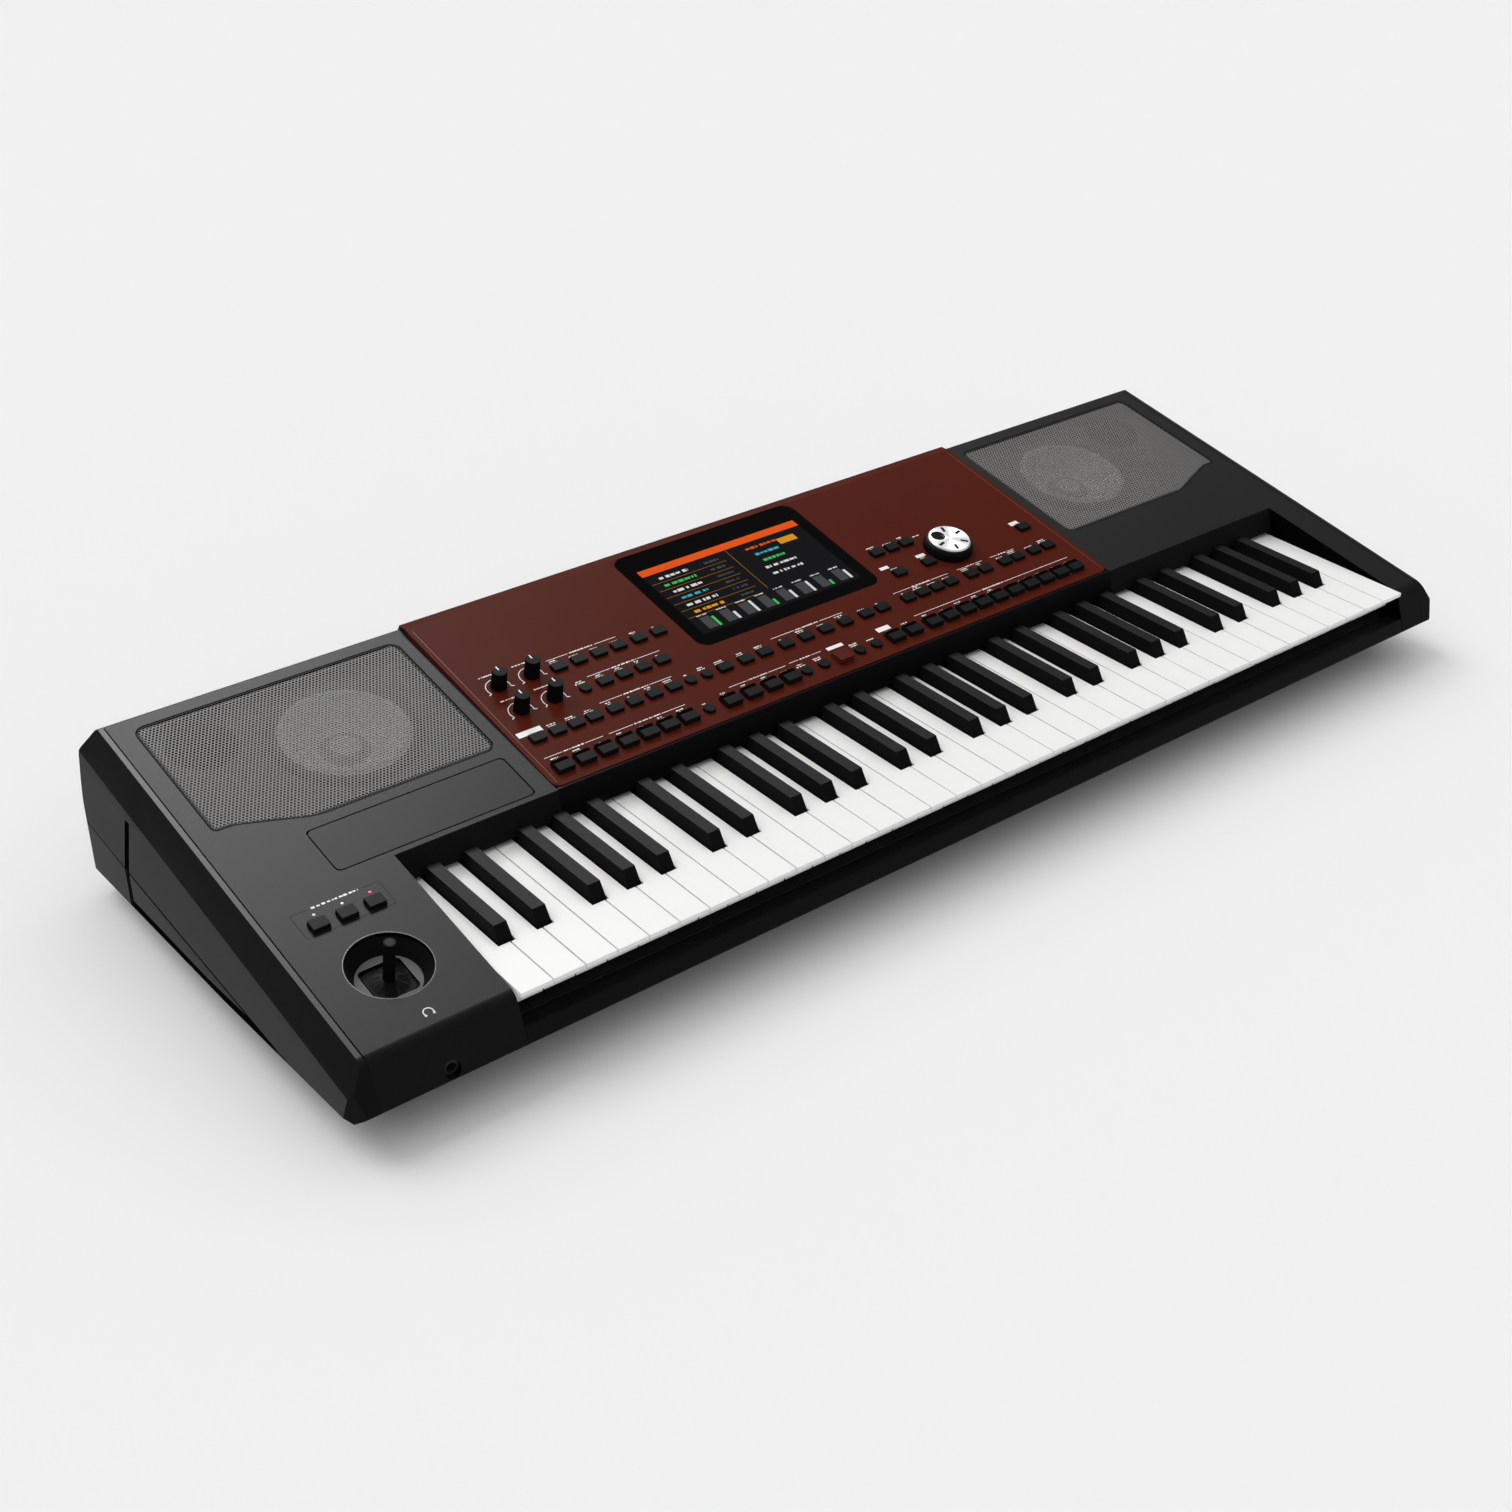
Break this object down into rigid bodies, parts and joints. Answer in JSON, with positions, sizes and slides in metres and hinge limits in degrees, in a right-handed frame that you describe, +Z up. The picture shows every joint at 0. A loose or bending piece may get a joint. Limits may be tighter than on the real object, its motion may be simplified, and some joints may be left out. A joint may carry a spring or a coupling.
{
  "type": "arranger keyboard",
  "caption": "Arranger keyboard with full-size keys, a sloping deck, speaker grilles, a raised control panel round a display, a joystick and a rear socket row.",
  "frame": {"origin": "on the floor under the middle of the casing", "axes": "+X to the player's right along the keys, +Y to the rear, +Z up"},
  "size_m": [1.018, 0.3545, 0.1275],
  "materials": {
    "case_dark": "fine-textured charcoal moulding",
    "case_trim": "smooth dark moulding",
    "panel_red": "satin red-brown paint",
    "grille_grey": "perforated sheet, grey powder coat",
    "badge_dark": "smooth dark plate, bare",
    "glass_black": "dark clear cover",
    "lcd": "bare display frame",
    "key_white": "polished white key moulding",
    "key_black": "fine-grained black key moulding",
    "button_black": "moulded black cap",
    "button_red": "moulded red cap",
    "knob_black": "ribbed black knob",
    "dial_metal": "turned cap",
    "rubber_black": "moulded rubber",
    "speaker_frame": "dark coated alloy frame and paper cone",
    "box_plastic": "plain inner moulding",
    "chassis_plastic": "plain inner moulding",
    "rod_steel": "drawn rod and screws",
    "felt_dark": "felt strip",
    "board_green": "circuit boards with parts",
    "supply_metal": "folded sheet",
    "socket_black": "moulded socket bodies"
  },
  "bodies": {
    "casing": {"bottom_case": "case_trim", "left_top_cover": "case_dark", "right_top_cover": "case_dark", "left_side_panel": "case_trim", "right_side_panel": "case_trim", "rear_panel": "case_trim", "key_slip": "case_trim", "keyslot_fascia": "case_dark", "control_panel": "panel_red", "badge_plate": "badge_dark", "display_glass": "glass_black", "lcd_module": "lcd", "left_grille": "grille_grey", "right_grille": "grille_grey", "left_speaker_box": "box_plastic", "right_speaker_box": "box_plastic", "left_woofer": "speaker_frame", "right_woofer": "speaker_frame", "key_chassis": "chassis_plastic", "key_pivot_rod": "rod_steel", "key_stop_felt": "felt_dark", "key_contact_board": "board_green", "control_boards": "board_green", "joystick_housing": "case_trim", "headphone_jack": "socket_black", "rear_jacks": "socket_black", "data_sockets": "socket_black", "power_inlet": "socket_black", "main_board": "board_green", "power_supply": "supply_metal", "feet": "rubber_black", "screws": "rod_steel"},
    "keys_c": {"keys_c": "key_white"},
    "keys_c_sharp": {"keys_c_sharp": "key_black"},
    "keys_d": {"keys_d": "key_white"},
    "keys_d_sharp": {"keys_d_sharp": "key_black"},
    "keys_e": {"keys_e": "key_white"},
    "keys_f": {"keys_f": "key_white"},
    "keys_f_sharp": {"keys_f_sharp": "key_black"},
    "keys_g": {"keys_g": "key_white"},
    "keys_g_sharp": {"keys_g_sharp": "key_black"},
    "keys_a": {"keys_a": "key_white"},
    "keys_a_sharp": {"keys_a_sharp": "key_black"},
    "keys_b": {"keys_b": "key_white"},
    "row_1_buttons": {"row_1_buttons": "button_black"},
    "row_2_buttons": {"row_2_buttons": "button_black"},
    "row_3_buttons": {"row_3_buttons": "button_black"},
    "row_4_buttons": {"row_4_buttons": "button_black"},
    "round_buttons": {"round_buttons": "button_black"},
    "start_button": {"start_button": "button_red"},
    "assignable_switches": {"assignable_switches": "button_black"},
    "knob_1": {"knob_1": "knob_black"},
    "knob_2": {"knob_2": "knob_black"},
    "knob_3": {"knob_3": "knob_black"},
    "knob_4": {"knob_4": "knob_black"},
    "data_dial": {"dial_cap": "dial_metal", "dial_ring": "rubber_black"},
    "joystick_gimbal": {"joystick_gimbal": "chassis_plastic"},
    "joystick_stick": {"joystick_stick": "button_black"},
    "power_button": {"power_button": "button_black"}
  },
  "joints": [
    {"name": "keys_c_dip", "type": "hinge", "parent": "casing", "child": "keys_c", "pos_m": [0, 0.0365, 0.056], "axis": [1, 0, 0], "range_deg": [0, 2.8], "stiffness_Nm_per_rad": 4, "springref_deg": -6.88},
    {"name": "keys_c_sharp_dip", "type": "hinge", "parent": "casing", "child": "keys_c_sharp", "pos_m": [0, 0.0365, 0.056], "axis": [1, 0, 0], "range_deg": [0, 2.8], "stiffness_Nm_per_rad": 4, "springref_deg": -6.88},
    {"name": "keys_d_dip", "type": "hinge", "parent": "casing", "child": "keys_d", "pos_m": [0, 0.0365, 0.056], "axis": [1, 0, 0], "range_deg": [0, 2.8], "stiffness_Nm_per_rad": 4, "springref_deg": -6.88},
    {"name": "keys_d_sharp_dip", "type": "hinge", "parent": "casing", "child": "keys_d_sharp", "pos_m": [0, 0.0365, 0.056], "axis": [1, 0, 0], "range_deg": [0, 2.8], "stiffness_Nm_per_rad": 4, "springref_deg": -6.88},
    {"name": "keys_e_dip", "type": "hinge", "parent": "casing", "child": "keys_e", "pos_m": [0, 0.0365, 0.056], "axis": [1, 0, 0], "range_deg": [0, 2.8], "stiffness_Nm_per_rad": 4, "springref_deg": -6.88},
    {"name": "keys_f_dip", "type": "hinge", "parent": "casing", "child": "keys_f", "pos_m": [0, 0.0365, 0.056], "axis": [1, 0, 0], "range_deg": [0, 2.8], "stiffness_Nm_per_rad": 4, "springref_deg": -6.88},
    {"name": "keys_f_sharp_dip", "type": "hinge", "parent": "casing", "child": "keys_f_sharp", "pos_m": [0, 0.0365, 0.056], "axis": [1, 0, 0], "range_deg": [0, 2.8], "stiffness_Nm_per_rad": 4, "springref_deg": -6.88},
    {"name": "keys_g_dip", "type": "hinge", "parent": "casing", "child": "keys_g", "pos_m": [0, 0.0365, 0.056], "axis": [1, 0, 0], "range_deg": [0, 2.8], "stiffness_Nm_per_rad": 4, "springref_deg": -6.88},
    {"name": "keys_g_sharp_dip", "type": "hinge", "parent": "casing", "child": "keys_g_sharp", "pos_m": [0, 0.0365, 0.056], "axis": [1, 0, 0], "range_deg": [0, 2.8], "stiffness_Nm_per_rad": 4, "springref_deg": -6.88},
    {"name": "keys_a_dip", "type": "hinge", "parent": "casing", "child": "keys_a", "pos_m": [0, 0.0365, 0.056], "axis": [1, 0, 0], "range_deg": [0, 2.8], "stiffness_Nm_per_rad": 4, "springref_deg": -6.88},
    {"name": "keys_a_sharp_dip", "type": "hinge", "parent": "casing", "child": "keys_a_sharp", "pos_m": [0, 0.0365, 0.056], "axis": [1, 0, 0], "range_deg": [0, 2.8], "stiffness_Nm_per_rad": 4, "springref_deg": -6.88},
    {"name": "keys_b_dip", "type": "hinge", "parent": "casing", "child": "keys_b", "pos_m": [0, 0.0365, 0.056], "axis": [1, 0, 0], "range_deg": [0, 2.8], "stiffness_Nm_per_rad": 4, "springref_deg": -6.88},
    {"name": "row_1_buttons_press", "type": "slide", "parent": "casing", "child": "row_1_buttons", "axis": [0, 0.1918, -0.9814], "range_m": [0, 0.0008], "stiffness_N_per_m": 1500, "springref_m": -0.001},
    {"name": "row_2_buttons_press", "type": "slide", "parent": "casing", "child": "row_2_buttons", "axis": [0, 0.1918, -0.9814], "range_m": [0, 0.0008], "stiffness_N_per_m": 1500, "springref_m": -0.001},
    {"name": "row_3_buttons_press", "type": "slide", "parent": "casing", "child": "row_3_buttons", "axis": [0, 0.1918, -0.9814], "range_m": [0, 0.0008], "stiffness_N_per_m": 1500, "springref_m": -0.001},
    {"name": "row_4_buttons_press", "type": "slide", "parent": "casing", "child": "row_4_buttons", "axis": [0, 0.1918, -0.9814], "range_m": [0, 0.0008], "stiffness_N_per_m": 1500, "springref_m": -0.001},
    {"name": "round_buttons_press", "type": "slide", "parent": "casing", "child": "round_buttons", "axis": [0, 0.1918, -0.9814], "range_m": [0, 0.0008], "stiffness_N_per_m": 1500, "springref_m": -0.001},
    {"name": "start_button_press", "type": "slide", "parent": "casing", "child": "start_button", "axis": [0, 0.1918, -0.9814], "range_m": [0, 0.0008], "stiffness_N_per_m": 1500, "springref_m": -0.001},
    {"name": "assignable_switches_press", "type": "slide", "parent": "casing", "child": "assignable_switches", "axis": [0, 0.1762, -0.9844], "range_m": [0, 0.0008], "stiffness_N_per_m": 1000, "springref_m": -0.001},
    {"name": "knob_1_turn", "type": "hinge", "parent": "casing", "child": "knob_1", "pos_m": [-0.24081, 0.0768, 0.11091], "axis": [0, -0.1918, 0.9814], "range_deg": [-150, 150]},
    {"name": "knob_2_turn", "type": "hinge", "parent": "casing", "child": "knob_2", "pos_m": [-0.21355, 0.0768, 0.11091], "axis": [0, -0.1918, 0.9814], "range_deg": [-150, 150]},
    {"name": "knob_3_turn", "type": "hinge", "parent": "casing", "child": "knob_3", "pos_m": [-0.24081, 0.04868, 0.10542], "axis": [0, -0.1918, 0.9814], "range_deg": [-150, 150]},
    {"name": "knob_4_turn", "type": "hinge", "parent": "casing", "child": "knob_4", "pos_m": [-0.21355, 0.04868, 0.10542], "axis": [0, -0.1918, 0.9814], "range_deg": [-150, 150]},
    {"name": "data_dial_turn", "type": "hinge", "parent": "casing", "child": "data_dial", "pos_m": [0.16416, 0.0543, 0.10652], "axis": [0, -0.1918, 0.9814], "continuous": true},
    {"name": "joystick_side_tilt", "type": "hinge", "parent": "casing", "child": "joystick_gimbal", "pos_m": [-0.438, -0.10412, 0.05367], "axis": [0, 0.9844, 0.1762], "range_deg": [-14, 14], "stiffness_Nm_per_rad": 0.12},
    {"name": "joystick_fore_tilt", "type": "hinge", "parent": "joystick_gimbal", "child": "joystick_stick", "pos_m": [-0.438, -0.10412, 0.05367], "axis": [1, 0, 0], "range_deg": [-14, 14], "stiffness_Nm_per_rad": 0.12},
    {"name": "power_button_press", "type": "slide", "parent": "casing", "child": "power_button", "axis": [0, -1, 0], "range_m": [0, 0.002], "stiffness_N_per_m": 800, "springref_m": -0.001}
  ]
}
